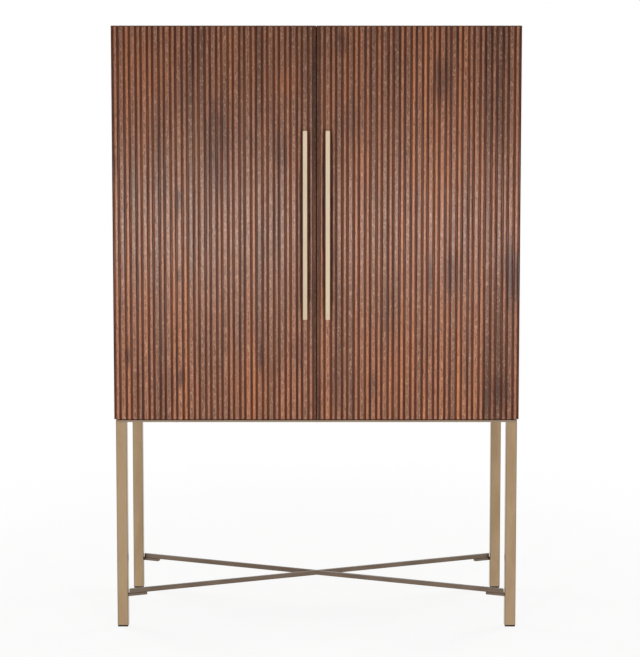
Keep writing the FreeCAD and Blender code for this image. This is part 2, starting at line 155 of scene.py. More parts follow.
class Sketch:
    """Adds nodes to a shader tree and links them by the names of their sockets."""

    def __init__(self, tree: bpy.types.NodeTree) -> None:
        """Start on an empty tree."""
        self.tree = tree

    def node(self, kind: str, settings: dict | None = None, inputs: dict | None = None) -> bpy.types.Node:
        """Add a node, set its options and feed its inputs.

        Args:
            kind: Node type without the ShaderNode prefix.
            settings: Node options by name.
            inputs: Constants or sockets by input name or number.

        Returns:
            The new node.
        """
        made = self.tree.nodes.new(kind if kind.startswith("Node") else f"ShaderNode{kind}")
        for name, value in (settings or {}).items():
            setattr(made, name, value)
        for key, value in (inputs or {}).items():
            self.put(value, made.inputs[key])
        return made

    def put(self, value: object, socket: Socket) -> None:
        """Link a socket, or set a constant on it.

        Args:
            value: Socket to link from, or the constant.
            socket: Input to feed.
        """
        if isinstance(value, Socket):
            self.tree.links.new(value, socket)
        else:
            socket.default_value = value

    def maths(self, operation: str, *values: Socket | float) -> Socket:
        """Result of a Math node on one to three values."""
        return self.node("Math", {"operation": operation}, dict(enumerate(values))).outputs[0]

    def vectors(self, operation: str, first: Socket, second: Socket | Triple) -> Socket:
        """Vector result of a Vector Math node on two vectors."""
        return self.node("VectorMath", {"operation": operation}, {0: first, 1: second}).outputs[0]

    def length(self, vector: Socket) -> Socket:
        """Length of a vector."""
        return self.node("VectorMath", {"operation": "LENGTH"}, {0: vector}).outputs["Value"]

    def mixed(self, share: Socket | float, first: Socket | Colour, second: Socket | Colour) -> Socket:
        """Colour between two colours.

        Args:
            share: Share of the second colour.
            first: Colour at share 0.
            second: Colour at share 1.

        Returns:
            The mixed colour.
        """
        return self.node("Mix", {"data_type": "RGBA"}, {0: share, 6: first, 7: second}).outputs[2]

    def spread(self, value: Socket, low: float, high: float, start: float = 0.0,
               end: float = 1.0) -> Socket:
        """Value taken smoothly from one span to another.

        Args:
            value: Value to map.
            low: Value that gives start.
            high: Value that gives end.
            start: Result at low.
            end: Result at high.

        Returns:
            The mapped value.
        """
        inputs = {"Value": value, "From Min": low, "From Max": high, "To Min": start, "To Max": end}
        return self.node("MapRange", {"interpolation_type": "SMOOTHSTEP"}, inputs).outputs[0]

    def ramp(self, value: Socket, colours: Sequence[Colour]) -> Socket:
        """Colour from a row of colours spread evenly from 0 to 1.

        Args:
            value: Place on the row.
            colours: Two colours or more.

        Returns:
            The colour at that place.
        """
        made = self.node("ValToRGB", inputs={0: value})
        stops = made.color_ramp.elements
        for number, colour in enumerate(colours):
            place = number / (len(colours) - 1)
            stop = stops[number] if number < len(stops) else stops.new(place)
            stop.position = place
            stop.color = colour
        return made.outputs[0]

    def noise(self, place: Socket, pattern: NoisePattern) -> Socket:
        """Noise with fibres along Z.

        Args:
            place: Place to read it at.
            pattern: How it repeats.

        Returns:
            The noise, about 0 to 1.
        """
        spot = self.vectors("MULTIPLY", place, (pattern.across, pattern.across, pattern.along))
        inputs = {"Vector": spot, "Scale": 1.0, "Detail": pattern.detail, "Distortion": pattern.distortion}
        return self.node("TexNoise", inputs=inputs).outputs[0]

    def group(self, tree: bpy.types.NodeTree, inputs: dict) -> bpy.types.NodeOutputs:
        """Outputs of a shader node group placed with its own values."""
        return self.node("Group", {"node_tree": tree}, inputs).outputs

    def laid(self, lay: Lay) -> Socket:
        """Object coordinates turned so that the fibres run along Z."""
        place = self.node("TexCoord").outputs["Object"]
        return self.node("Mapping", inputs={"Vector": place, "Rotation": lay.turn}).outputs[0]


class MaterialSketch(Sketch):
    """A material with one Principled shader, and the sketch of its nodes."""

    def __init__(self, name: str) -> None:
        """Make the material with an output and a Principled shader.

        Args:
            name: Name of the material.
        """
        self.material = bpy.data.materials.new(name)
        self.material.use_nodes = True
        super().__init__(self.material.node_tree)
        self.tree.nodes.clear()
        self.shader = self.node("BsdfPrincipled")
        self.output = self.node("OutputMaterial", inputs={"Surface": self.shader.outputs[0]})

    def feed(self, **inputs: Socket | float | Colour) -> None:
        """Set or link inputs of the Principled shader, spaces in their names written as underscores."""
        for name, value in inputs.items():
            self.put(value, self.shader.inputs[name.replace("_", " ")])

    def bump(self, height: Socket, depth: float, strength: float) -> None:
        """Feed the shader's normal from a height of the given depth in metres."""
        inputs = {"Height": height, "Distance": depth, "Strength": strength}
        self.feed(Normal=self.node("Bump", inputs=inputs).outputs[0])


class EffectGroups:
    """Shader node groups that several finishes share, each built once."""

    STREAK = NoisePattern(21.0, 1.7, detail=4.0, distortion=0.7)
    BAND = NoisePattern(105.0, 4.0, detail=4.0, distortion=0.4)
    GRAIN = NoisePattern(640.0, 18.0)
    SPECKLE = NoisePattern(310.0, 165.0, detail=2.0)
    PORES = NoisePattern(360.0, 85.0, detail=2.0)
    PORE_SPAN = (0.55, 0.72)
    STAVE_JUMP = 7.0
    TEAR_MIDDLE = 0.5
    TEAR_REACH = 2.2
    TORN_SPAN = (1.15, 0.2)
    LINES = NoisePattern(1900.0, 22.0)
    CLOUD = NoisePattern(30.0, 9.0, detail=4.0, distortion=0.4)

    def __init__(self) -> None:
        """Build the three groups."""
        self.grain = self.straight_grain()
        self.place = self.ragged_place()
        self.brushing = self.brushed_lines()

    @staticmethod
    def start(name: str, inputs: dict[str, str],
              outputs: Iterable[str]) -> tuple[Sketch, dict[str, Socket]]:
        """Make an empty group with named sockets.

        Args:
            name: Name of the group.
            inputs: Socket types by input name.
            outputs: Names of the value outputs.

        Returns:
            The group's sketch and its inputs by name.
        """
        tree = bpy.data.node_groups.new(name, "ShaderNodeTree")
        for title, kind in inputs.items():
            tree.interface.new_socket(name=title, in_out="INPUT", socket_type=kind)
        for title in outputs:
            tree.interface.new_socket(name=title, in_out="OUTPUT", socket_type="NodeSocketFloat")
        sketch = Sketch(tree)
        source = sketch.node("NodeGroupInput")
        return sketch, {title: source.outputs[title] for title in inputs}

    def straight_grain(self) -> bpy.types.NodeTree:
        """Wood with its fibres along Z, glued from staves.

        Returns:
            A group with each stave's tone, broad and narrow streaks, fine grain, speckle and pores.
        """
        inputs = {"Place": "NodeSocketVector", "Stave Width": "NodeSocketFloat"}
        titles = ("Stave", "Streak", "Band", "Grain", "Speckle", "Pores")
        sketch, given = self.start("straight_grain", inputs, titles)
        across = sketch.node("SeparateXYZ", inputs={0: given["Place"]}).outputs[0]
        number = sketch.maths("FLOOR", sketch.maths("DIVIDE", across, given["Stave Width"]))
        stave = sketch.node("TexWhiteNoise", {"noise_dimensions": "1D"}, {"W": number}).outputs[0]
        jump = sketch.maths("MULTIPLY", stave, self.STAVE_JUMP)
        shift = sketch.node("CombineXYZ", inputs={2: jump}).outputs[0]
        place = sketch.vectors("ADD", given["Place"], shift)
        outputs = {
            "Stave": stave,
            "Streak": sketch.noise(place, self.STREAK),
            "Band": sketch.noise(place, self.BAND),
            "Grain": sketch.noise(place, self.GRAIN),
            "Speckle": sketch.noise(place, self.SPECKLE),
            "Pores": sketch.spread(sketch.noise(place, self.PORES), *self.PORE_SPAN),
        }
        sketch.node("NodeGroupOutput", inputs=outputs)
        return sketch.tree

    def ragged_place(self) -> bpy.types.NodeTree:
        """Soft-edged oval round a centre, its edge torn by a given value.

        Returns:
            A group with the oval's mask.
        """
        inputs = {"Place": "NodeSocketVector", "Centre": "NodeSocketVector", "Reach": "NodeSocketVector",
                  "Tear": "NodeSocketFloat"}
        sketch, given = self.start("ragged_place", inputs, ("Mask",))
        away = sketch.vectors("SUBTRACT", given["Place"], given["Centre"])
        distance = sketch.length(sketch.vectors("DIVIDE", away, given["Reach"]))
        tear = sketch.maths("SUBTRACT", given["Tear"], self.TEAR_MIDDLE)
        torn = sketch.maths("MULTIPLY_ADD", tear, self.TEAR_REACH, distance)
        sketch.node("NodeGroupOutput", inputs={"Mask": sketch.spread(torn, *self.TORN_SPAN)})
        return sketch.tree

    def brushed_lines(self) -> bpy.types.NodeTree:
        """Brushed metal with its lines along Z.

        Returns:
            A group with the fine lines, and soft cloudy patches where the finish is thinner.
        """
        sketch, given = self.start("brushed_lines", {"Place": "NodeSocketVector"}, ("Lines", "Cloud"))
        outputs = {
            "Lines": sketch.noise(given["Place"], self.LINES),
            "Cloud": sketch.noise(given["Place"], self.CLOUD),
        }
        sketch.node("NodeGroupOutput", inputs=outputs)
        return sketch.tree


EFFECTS = EffectGroups()


@dataclass(frozen=True)
class WoodFinish:
    """Stained wood in glued staves, with a satin lacquer."""

    name: str
    lay: Lay
    shades: tuple[Colour, ...]
    middle_tone: float = 0.5
    pore_shade: Colour = srgb(58, 38, 30)
    # Pale colour of the grain's speckle, which also paints glints, and of the painted sheen patches.
    pale_shade: Colour = srgb(188, 154, 130)
    stave_width: float = 92 * MM
    stave_share: float = 0.26
    streak_share: float = 1.1
    band_share: float = 0.8
    grain_share: float = 0.4
    speckle_share: float = 0.14
    pore_share: float = 0.5
    roughness: float = 0.36
    gloss: float = 0.12
    relief: float = 0.35 * MM
    speckle_span: tuple[float, float] = (0.5, 0.75)
    grain_dullness: float = 0.2
    grain_height: float = 0.5
    bump_strength: float = 0.6

    def material(self) -> Material:
        """Build the finish.

        Returns:
            The new material.
        """
        sketch = MaterialSketch(self.name)
        place = sketch.laid(self.lay)
        fibre = sketch.group(EFFECTS.grain, {"Place": place, "Stave Width": self.stave_width})
        colour = sketch.ramp(self.tone(sketch, fibre), self.shades)
        # Pale speckle: part of the grain, and painted glints of the lacquer between the pores.
        pale = sketch.spread(fibre["Speckle"], *self.speckle_span, 0.0, self.speckle_share)
        colour = sketch.mixed(pale, colour, self.pale_shade)
        pores = sketch.maths("MULTIPLY", fibre["Pores"], self.pore_share)
        colour = self.stain(sketch, place, fibre, sketch.mixed(pores, colour, self.pore_shade))
        lowest = self.dullness(sketch, place)
        dullness = sketch.maths("MULTIPLY_ADD", fibre["Grain"], self.grain_dullness, lowest)
        ridges = sketch.maths("MULTIPLY", fibre["Grain"], self.grain_height)
        height = sketch.maths("SUBTRACT", ridges, fibre["Pores"])
        sketch.feed(Base_Color=colour, Roughness=dullness, Specular_IOR_Level=self.gloss)
        sketch.bump(height, self.relief, self.bump_strength)
        return sketch.material

    def tone(self, sketch: MaterialSketch, fibre: bpy.types.NodeOutputs) -> Socket:
        """Place on the row of shades, from the fibres.

        Args:
            sketch: Sketch to draw in.
            fibre: Outputs of the grain group.

        Returns:
            A value of about 0 to 1.
        """
        shares = {"Stave": self.stave_share, "Streak": self.streak_share, "Band": self.band_share,
                  "Grain": self.grain_share}
        total: Socket | float = self.middle_tone - sum(shares.values()) / 2
        for title, share in shares.items():
            total = sketch.maths("MULTIPLY_ADD", fibre[title], share, total)
        return total

    def dullness(self, sketch: MaterialSketch, place: Socket) -> Socket | float:
        """Lowest roughness; the same all over plain boards."""
        return self.roughness - self.grain_dullness / 2

    def stain(self, sketch: MaterialSketch, place: Socket, fibre: bpy.types.NodeOutputs,
              colour: Socket) -> Socket:
        """Colour after local stains and painted light; plain boards have none."""
        return colour


@dataclass(frozen=True)
class Patch:
    """A marked place on the doors, in millimetres: its middle, its half sizes, and its strength."""

    x: float
    z: float
    half_width: float
    half_height: float
    strength: float


@dataclass(frozen=True)
class ReededWoodFinish(WoodFinish):
    """Door wood: each rib has its own tone, painted shade darkens the grooves, and slate streaks run
    through.
    """

    speckle_share: float = 0.42
    plain_roughness: float = 0.75
    patch_depth: float = 14 * MM
    crest: float = 0.0
    foot: float = 0.0
    bottom: float = 0.0
    top: float = 0.0
    end_reach: float = 3.6 * MM
    meeting_start: float = 2.0 * MM
    meeting_reach: float = 3.2 * MM
    # Near-black colour beside the gap between the doors: painted shade in the gap.
    meeting_shade: Colour = srgb(28, 11, 4)
    # Dark colours mixed into the grooves: painted shade, with a hue that varies from groove to groove.
    groove_shades: tuple[Colour, ...] = shades((54, 21, 5), (78, 25, 3), (84, 42, 10))
    groove_share: float = 0.9
    groove_span: tuple[float, float] = (0.06, 0.42)
    pool_span: tuple[float, float] = (0.34, 0.66)
    front_fade: float = 0.1
    # Dark band along the top ends of the ribs, much fainter along the bottom ends: painted shade.
    end_shade: Colour = srgb(52, 33, 25)
    end_share: float = 0.85
    lower_share: float = 0.1
    dot_shade: Colour = srgb(92, 70, 60)
    dot_share: float = 0.75
    dot_span: tuple[float, float] = (0.58, 0.38)
    slate_shade: Colour = srgb(60, 50, 50)
    warm_shade: Colour = srgb(176, 108, 68)
    rib_share: float = 0.16
    slate_patches: tuple[Patch, ...] = ()
    warm_patches: tuple[Patch, ...] = ()
    # Pale patches: painted sheen.
    rubbed_patches: tuple[Patch, ...] = ()
    # Dark bands on either side of each handle: painted shadow of the handles.
    handled_patches: tuple[Patch, ...] = ()
    handled_shade: Colour = srgb(60, 36, 22)

    def tone(self, sketch: MaterialSketch, fibre: bpy.types.NodeOutputs) -> Socket:
        """Tone of the fibres and of the rib."""
        rib = sketch.node("Attribute", {"attribute_name": "rib_tone"}).outputs["Fac"]
        return sketch.maths("MULTIPLY_ADD", rib, self.rib_share, super().tone(sketch, fibre))

    def dullness(self, sketch: MaterialSketch, place: Socket) -> Socket:
        """Lowest roughness: the ribs have a sheen, the meeting edges, plain sides and back have none.

        Args:
            sketch: Sketch to draw in.
            place: Place on the door.

        Returns:
            The roughness before the grain's share.
        """
        through = sketch.node("SeparateXYZ", inputs={0: place}).outputs[1]
        depth = self.foot - self.crest
        plain = sketch.spread(through, self.foot, self.foot + depth, super().dullness(sketch, place),
                              self.plain_roughness)
        return sketch.maths("MAXIMUM", plain, self.meeting(sketch, place, self.plain_roughness))

    def meeting(self, sketch: MaterialSketch, place: Socket, most: float) -> Socket:
        """Value at the edges where the doors meet, 0 elsewhere.

        Args:
            sketch: Sketch to draw in.
            place: Place on the door.
            most: Value at the edges.

        Returns:
            The value.
        """
        across = sketch.node("SeparateXYZ", inputs={0: place}).outputs[0]
        away = sketch.maths("ABSOLUTE", across)
        return sketch.spread(away, self.meeting_reach, self.meeting_start, 0.0, most)

    def patches(self, sketch: MaterialSketch, place: Socket, tear: Socket,
                spots: Sequence[Patch]) -> Socket:
        """Mask of all given places.

        Args:
            sketch: Sketch to draw in.
            place: Place on the door.
            tear: Value that tears the edges.
            spots: Places to mark.

        Returns:
            The strongest mask at each point.
        """
        total: Socket | float = 0.0
        for spot in spots:
            inputs = {"Place": place, "Tear": tear, "Centre": (spot.x * MM, self.crest, spot.z * MM),
                      "Reach": (spot.half_width * MM, self.patch_depth, spot.half_height * MM)}
            mask = sketch.group(EFFECTS.place, inputs)[0]
            total = sketch.maths("MAXIMUM", total, sketch.maths("MULTIPLY", mask, spot.strength))
        return total

    def stain(self, sketch: MaterialSketch, place: Socket, fibre: bpy.types.NodeOutputs,
              colour: Socket) -> Socket:
        """Colour with dotted flats and all marked places, painted shade in the grooves, and painted shade
        along the top and bottom edges and the meeting edges.

        Args:
            sketch: Sketch to draw in.
            place: Place on the door.
            fibre: Outputs of the grain group.
            colour: Colour of the plain wood.

        Returns:
            The stained colour.
        """
        flat = sketch.node("Attribute", {"attribute_name": "rib_flat"}).outputs["Fac"]
        dots = sketch.spread(fibre["Speckle"], *self.dot_span, 0.0, self.dot_share)
        colour = sketch.mixed(sketch.maths("MULTIPLY", flat, dots), colour, self.dot_shade)
        # Pale patches are painted sheen and the dark bands beside the handles are painted shadow; warm and
        # slate patches are wood tone.
        for tear, spots, shade in (("Streak", self.rubbed_patches, self.pale_shade),
                                   ("Band", self.warm_patches, self.warm_shade),
                                   ("Band", self.slate_patches, self.slate_shade),
                                   ("Grain", self.handled_patches, self.handled_shade)):
            colour = sketch.mixed(self.patches(sketch, place, fibre[tear], spots), colour, shade)
        _, through, height = sketch.node("SeparateXYZ", inputs={0: place}).outputs
        depth = self.foot - self.crest
        # Painted shade: the flanks darken towards the floors of the grooves.
        down = sketch.spread(through, *(self.crest + depth * part for part in self.groove_span))
        front = sketch.spread(through, self.foot + depth, self.foot + depth * self.front_fade)
        share = sketch.maths("MULTIPLY", sketch.maths("MULTIPLY", down, front), self.groove_share)
        painted_groove_shade = sketch.ramp(sketch.spread(fibre["Band"], *self.pool_span), self.groove_shades)
        colour = sketch.mixed(share, colour, painted_groove_shade)
        # Painted shade along the top and bottom edges of the ribs.
        upper = sketch.spread(height, self.top - self.end_reach, self.top, 0.0, self.end_share)
        lower = sketch.spread(height, self.bottom + self.end_reach, self.bottom, 0.0, self.lower_share)
        ends = sketch.maths("MAXIMUM", upper, lower)
        colour = sketch.mixed(sketch.maths("MULTIPLY", front, ends), colour, self.end_shade)
        # Painted shade along the edges where the doors meet.
        meeting = self.meeting(sketch, place, self.end_share)
        return sketch.mixed(sketch.maths("MULTIPLY", front, meeting), colour, self.meeting_shade)


@dataclass(frozen=True)
class MetalFinish:
    """Brushed metal whose lines run along the piece, with painted shade on the rounded corners."""

    name: str
    lay: Lay
    colour: Colour
    shade: Colour
    corner_shade: Colour = srgb(118, 107, 96)
    corner_share: float = 0.9
    roughness: float = 0.3
    cloud_share: float = 0.45
    cloud_span: tuple[float, float] = (0.35, 0.7)
    line_share: float = 0.3
    line_span: tuple[float, float] = (0.3, 0.7)
    line_dullness: float = 0.2
    relief: float = 0.03 * MM
    bump_strength: float = 0.5

    def material(self) -> Material:
        """Build the finish.

        Returns:
            The new material.
        """
        sketch = MaterialSketch(self.name)
        brush = sketch.group(EFFECTS.brushing, {"Place": sketch.laid(self.lay)})
        clouds = sketch.spread(brush["Cloud"], *self.cloud_span, 0.0, self.cloud_share)
        lines = sketch.spread(brush["Lines"], *self.line_span)
        share = sketch.maths("MULTIPLY_ADD", lines, self.line_share, clouds)
        lowest = self.roughness - self.line_dullness / 2
        dullness = sketch.maths("MULTIPLY_ADD", brush["Lines"], self.line_dullness, lowest)
        # Painted shade: the marked rounded corners are mixed towards a darker grey.
        corner = sketch.node("Attribute", {"attribute_name": "corner"}).outputs["Fac"]
        corner = sketch.maths("MULTIPLY", corner, self.corner_share)
        colour = sketch.mixed(corner, sketch.mixed(share, self.colour, self.shade), self.corner_shade)
        sketch.feed(Base_Color=colour, Metallic=1.0, Roughness=dullness)
        sketch.bump(brush["Lines"], self.relief, self.bump_strength)
        return sketch.material


@dataclass(frozen=True)
class MouldedFinish:
    """Moulded plastic or rubber with a faint texture."""

    name: str
    colour: Colour
    roughness: float
    texture: NoisePattern = NoisePattern(900.0, 900.0, detail=2.0)
    texture_dullness: float = 0.2
    lift: float = 1.6
    least_light: float = 0.004
    gloss: float = 0.15
    relief: float = 0.05 * MM
    bump_strength: float = 0.4

    def material(self) -> Material:
        """Build the finish.

        Returns:
            The new material.
        """
        sketch = MaterialSketch(self.name)
        speckle = sketch.noise(sketch.laid(Lay.DOOR), self.texture)
        lighter = tuple(min(value * self.lift + self.least_light, 1.0) for value in self.colour)
        lowest = self.roughness - self.texture_dullness / 2
        dullness = sketch.maths("MULTIPLY_ADD", speckle, self.texture_dullness, lowest)
        sketch.feed(Base_Color=sketch.mixed(speckle, self.colour, lighter), Roughness=dullness,
                    Specular_IOR_Level=self.gloss)
        sketch.bump(speckle, self.relief, self.bump_strength)
        return sketch.material


def round_over(bm: BMesh, edges: Sequence[BMEdge], radius: float, segments: int = 2) -> None:
    """Round over the given edges of a mesh."""
    bmesh.ops.bevel(bm, geom=edges, offset=radius, offset_type="OFFSET", segments=segments, profile=0.5,
                    affect="EDGES", clamp_overlap=True, material=-1)


def turned(bm: BMesh, outline: Sequence[Vector], centre: Vector, axis: Vector, steps: int) -> list[BMFace]:
    """Turn an open outline round an axis, and close its seam and poles.

    Args:
        bm: Mesh to add to.
        outline: Points of the outline.
        centre: A point on the axis.
        axis: Direction of the axis.
        steps: Steps of the full turn.

    Returns:
        The new faces.
    """
    before = set(bm.faces)
    verts = [bm.verts.new(point) for point in outline]
    edges = [bm.edges.new(pair) for pair in zip(verts, verts[1:])]
    bmesh.ops.spin(bm, geom=verts + edges, cent=centre, axis=axis, angle=FULL_TURN, steps=steps,
                   use_merge=True)
    made = [face for face in bm.faces if face not in before]
    corners = list({vert for face in made for vert in face.verts})
    bmesh.ops.remove_doubles(bm, verts=corners, dist=MERGE_DISTANCE)
    made = [face for face in bm.faces if face not in before]
    bmesh.ops.recalc_face_normals(bm, faces=made)
    return made


def eased_copy(node: str, radius: float, segments: int = 2,
               choose: Callable[[BMEdge], bool] = lambda edge: True) -> BMesh:
    """Copy a node's solid with its sharp outer edges rounded over.

    Args:
        node: Node to copy.
        radius: Size of the rounding in metres.
        segments: Steps of the rounding.
        choose: Test for the sharp edges to round.

    Returns:
        The new mesh.
    """
    bm = bmesh.new()
    bm.from_mesh(frame["nodes"][node].data)
    bmesh.ops.remove_doubles(bm, verts=bm.verts[:], dist=MERGE_DISTANCE)
    bmesh.ops.dissolve_limit(bm, angle_limit=FLAT_ANGLE, verts=bm.verts[:], edges=bm.edges[:])
    sharp = [edge for edge in bm.edges if edge.is_manifold and edge.is_convex
             and edge.calc_face_angle() > SHARP_ANGLE and choose(edge)]
    round_over(bm, sharp, radius, segments)
    return bm


def edge_way(edge: BMEdge) -> Vector:
    """Direction of an edge."""
    return (edge.verts[1].co - edge.verts[0].co).normalized()


def settle(bm: BMesh, name: str, material: Material, body: str, slot: str,
           nodes: Sequence[str] = ()) -> bpy.types.Object:
    """Turn a mesh into a finished piece that rides on a body; its many-cornered faces are shaded flat.

    Args:
        bm: Finished mesh, which is freed.
        name: Name of the piece.
        material: Its finish.
        body: Body that it moves with.
        slot: The record's material slot; not used.
        nodes: Nodes that it stands for.

    Returns:
        The new object.
    """
    mesh = bpy.data.meshes.new(name)
    bm.to_mesh(mesh)
    bm.free()
    mesh.materials.clear()
    mesh.materials.append(material)
    rounded = [face.loop_total <= MOST_ROUND_CORNERS for face in mesh.polygons]
    mesh.polygons.foreach_set("use_smooth", rounded)
    mesh.set_sharp_from_angle(angle=SHARP_ANGLE)
    piece = bpy.data.objects.new(name, mesh)
    bpy.context.scene.collection.objects.link(piece)
    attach(piece, body)
    if nodes:
        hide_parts(*nodes)
    LOG.info("%s: %d faces on %s", name, len(mesh.polygons), body)
    return piece


def settle_copy(node: str, material: Material, radius: float, segments: int = 2) -> bpy.types.Object:
    """Replace a node by a copy with eased edges and a finish."""
    bm = eased_copy(node, radius, segments)
    return settle(bm, f"finished_{node}", material, BODY_OF[node], SLOT_OF[node], (node,))


def settle_copies(nodes: Iterable[str], material: Material, radius: float) -> None:
    """Replace several nodes alike."""
    for node in nodes:
        settle_copy(node, material, radius)


def named(*words: str) -> list[str]:
    """Nodes whose names start with one of the words."""
    return sorted(node for node in frame["nodes"] if node.startswith(words))


def middle(node: str) -> Vector:
    """Middle of a node's box."""
    low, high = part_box(node)
    return (low + high) / 2


@dataclass(frozen=True)
class ScrewHead:
    """A round screw head with a cross recess, turned from an outline."""

    radius: float
    height: float
    shank: float = 1.5 * MM
    recess: float = 0.45
    recess_depth: float = 0.6
    shoulder: float = 0.8
    flat_share: float = 0.9
    steps: int = 16

    def add(self, bm: BMesh, place: Vector, facing: Facing) -> None:
        """Add one head to a mesh.

        Args:
            bm: Mesh to add to.
            place: Middle of the head on the surface that it is driven into.
            facing: The way that it looks.
        """
        across = Vector((1, 0, 0))
        outline = ((0.0, self.height), (self.recess, self.height),
                   (self.shoulder, self.height * self.shoulder), (1.0, 0.0))
        points = [place + across * self.radius * share + facing.axis * rise for share, rise in outline]
        points.append(place - facing.axis * self.shank)
        side = facing.axis.cross(across)
        arms = []
        for face in turned(bm, points, place, facing.axis, self.steps):
            away = face.calc_center_median() - place
            reach = Vector((away.dot(across), away.dot(side)))
            inside = (reach.length < self.recess * self.radius
                      and away.dot(facing.axis) > self.height * self.flat_share)
            if inside and math.atan2(reach.y, reach.x) % QUARTER_TURN < FULL_TURN / self.steps:
                arms.append(face)
        sunk = bmesh.ops.extrude_discrete_faces(bm, faces=arms)["faces"]
        floor = [vert for face in sunk for vert in face.verts]
        bmesh.ops.translate(bm, verts=floor, vec=-facing.axis * self.height * self.recess_depth)

    def row(self, places: Iterable[Vector], facing: Facing) -> BMesh:
        """Mesh of several heads.

        Args:
            places: Middle of each head.
            facing: The way that they look.

        Returns:
            The new mesh.
        """
        bm = bmesh.new()
        for place in places:
            self.add(bm, place, facing)
        return bm


@dataclass(frozen=True)
class FinishSet:
    """Every finish of the object."""

    door: Material
    side: Material
    flat: Material
    inside_flat: Material
    inside_side: Material
    rest: Material
    runner: Material
    back: Material
    handle: Material
    upright: Material
    across: Material
    deep: Material
    brace: Material
    hinge: Material
    pin: Material
    steel: Material
    glide: Material
    catch: Material
    rubber: Material


@dataclass
class ReededDoor:
    """A door with wide and narrow ribs by turns."""

    side: Side
    rib_radius: float = 5.5 * MM
    shoulder_turn: float = math.radians(75)
    wide_flat: float = 2.8 * MM
    edge_rib: float = 2.5 * MM
    groove_target: float = 1.2 * MM
    ease: float = 0.4 * MM
    wide_tone: float = -0.5
    narrow_tone: float = 0.3
    meeting_tone: float = -1.4
    seed: int = 11

    @property
    def node(self) -> str:
        """The node that this door stands for."""
        return f"door_{self.side.word}"

    @property
    def foot(self) -> float:
        """Where the grooves end, seen from the front."""
        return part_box(self.node)[0].y + self.rib_radius * (1 - math.cos(self.shoulder_turn))

    def rib_ends(self) -> list[tuple[float, bool]]:
        """Distance from the centre where each rib ends, and whether it is a wide one.

        Returns:
            The ribs from the centre outwards, each end in the middle of a groove.
        """
        low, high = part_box(self.node)
        inner, outer = sorted((abs(low.x), abs(high.x)))
        shoulder = self.rib_radius * math.sin(self.shoulder_turn)
        narrow = 2 * shoulder
        wide = narrow + self.wide_flat
        run = outer - self.edge_rib - inner - shoulder - narrow
        pairs = round((run - 2 * self.groove_target) / (wide + narrow + 2 * self.groove_target))
        groove = (run - pairs * (wide + narrow)) / (2 * pairs + 2)
        end = inner + shoulder + groove / 2
        ribs = [(end, True)]
        for number in range(2 * pairs + 1):
            end += (wide if number % 2 else narrow) + groove
            ribs.append((end, bool(number % 2)))
        return [*ribs, (math.inf, True)]

    def build(self) -> BMesh:
        """Copy the door's solid, ease the ends of the ribs, give each rib its tone and mark the flat tops.

        Returns:
            The new mesh.
        """
        ends = [corner.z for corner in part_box(self.node)]

        def at_an_end(edge: BMEdge) -> bool:
            """Whether an edge lies in the top or bottom face."""
            heights = [vert.co.z for vert in edge.verts]
            return any(max(abs(height - end) for height in heights) < MERGE_DISTANCE for end in ends)

        bm = eased_copy(self.node, self.ease, choose=at_an_end)
        ribs = self.rib_ends()
        foot = self.foot
        dice = random.Random(self.seed + self.side.value)
        tones = [dice.uniform(-1, 1) + (self.wide_tone if wide else self.narrow_tone) for _, wide in ribs]
        # The two ribs at the meeting edges get a darker tone: painted shade beside the gap.
        tones[:2] = self.meeting_tone, self.meeting_tone / 2
        tone = bm.faces.layers.float.new("rib_tone")
        flat = bm.faces.layers.float.new("rib_flat")
        for face in bm.faces:
            centre = face.calc_center_median()
            if centre.y < foot:
                face[tone] = tones[sum(end < abs(centre.x) for end, _ in ribs)]
                face[flat] = float(face.normal.y < -math.cos(FLAT_ANGLE))
        return bm

    def dress(self, finishes: FinishSet) -> None:
        """Make the finished door.

        Args:
            finishes: Every finish of the object.
        """
        name = f"reeded_{self.node}"
        door = settle(self.build(), name, finishes.door, self.side.body, SLOT_OF[self.node], (self.node,))
        bpy.data.collections[SHEEN_DOORS].objects.link(door)


@dataclass
class BarHandle:
    """A square bar on two posts, held by screws from the door's back."""

    side: Side
    ease: float = 0.8 * MM
    ease_steps: int = 3
    post_inset: float = 40 * MM
    screw: ScrewHead = ScrewHead(4.2 * MM, 2.2 * MM)

    def screws(self) -> BMesh:
        """Heads of the two handle screws.

        Returns:
            The new mesh.
        """
        low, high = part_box(f"handle_{self.side.word}")
        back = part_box(f"door_{self.side.word}")[1].y
        x = (low.x + high.x) / 2
        heights = (low.z + self.post_inset, high.z - self.post_inset)
        return self.screw.row((Vector((x, back, height)) for height in heights), Facing.BACK)

    def dress(self, finishes: FinishSet) -> None:
        """Make the finished handle and its screws.

        Args:
            finishes: Every finish of the object.
        """
        settle_copy(f"handle_{self.side.word}", finishes.handle, self.ease, self.ease_steps)
        name = f"handle_screws_{self.side.word}"
        settle(self.screws(), name, finishes.steel, self.side.body, "fitting_steel")


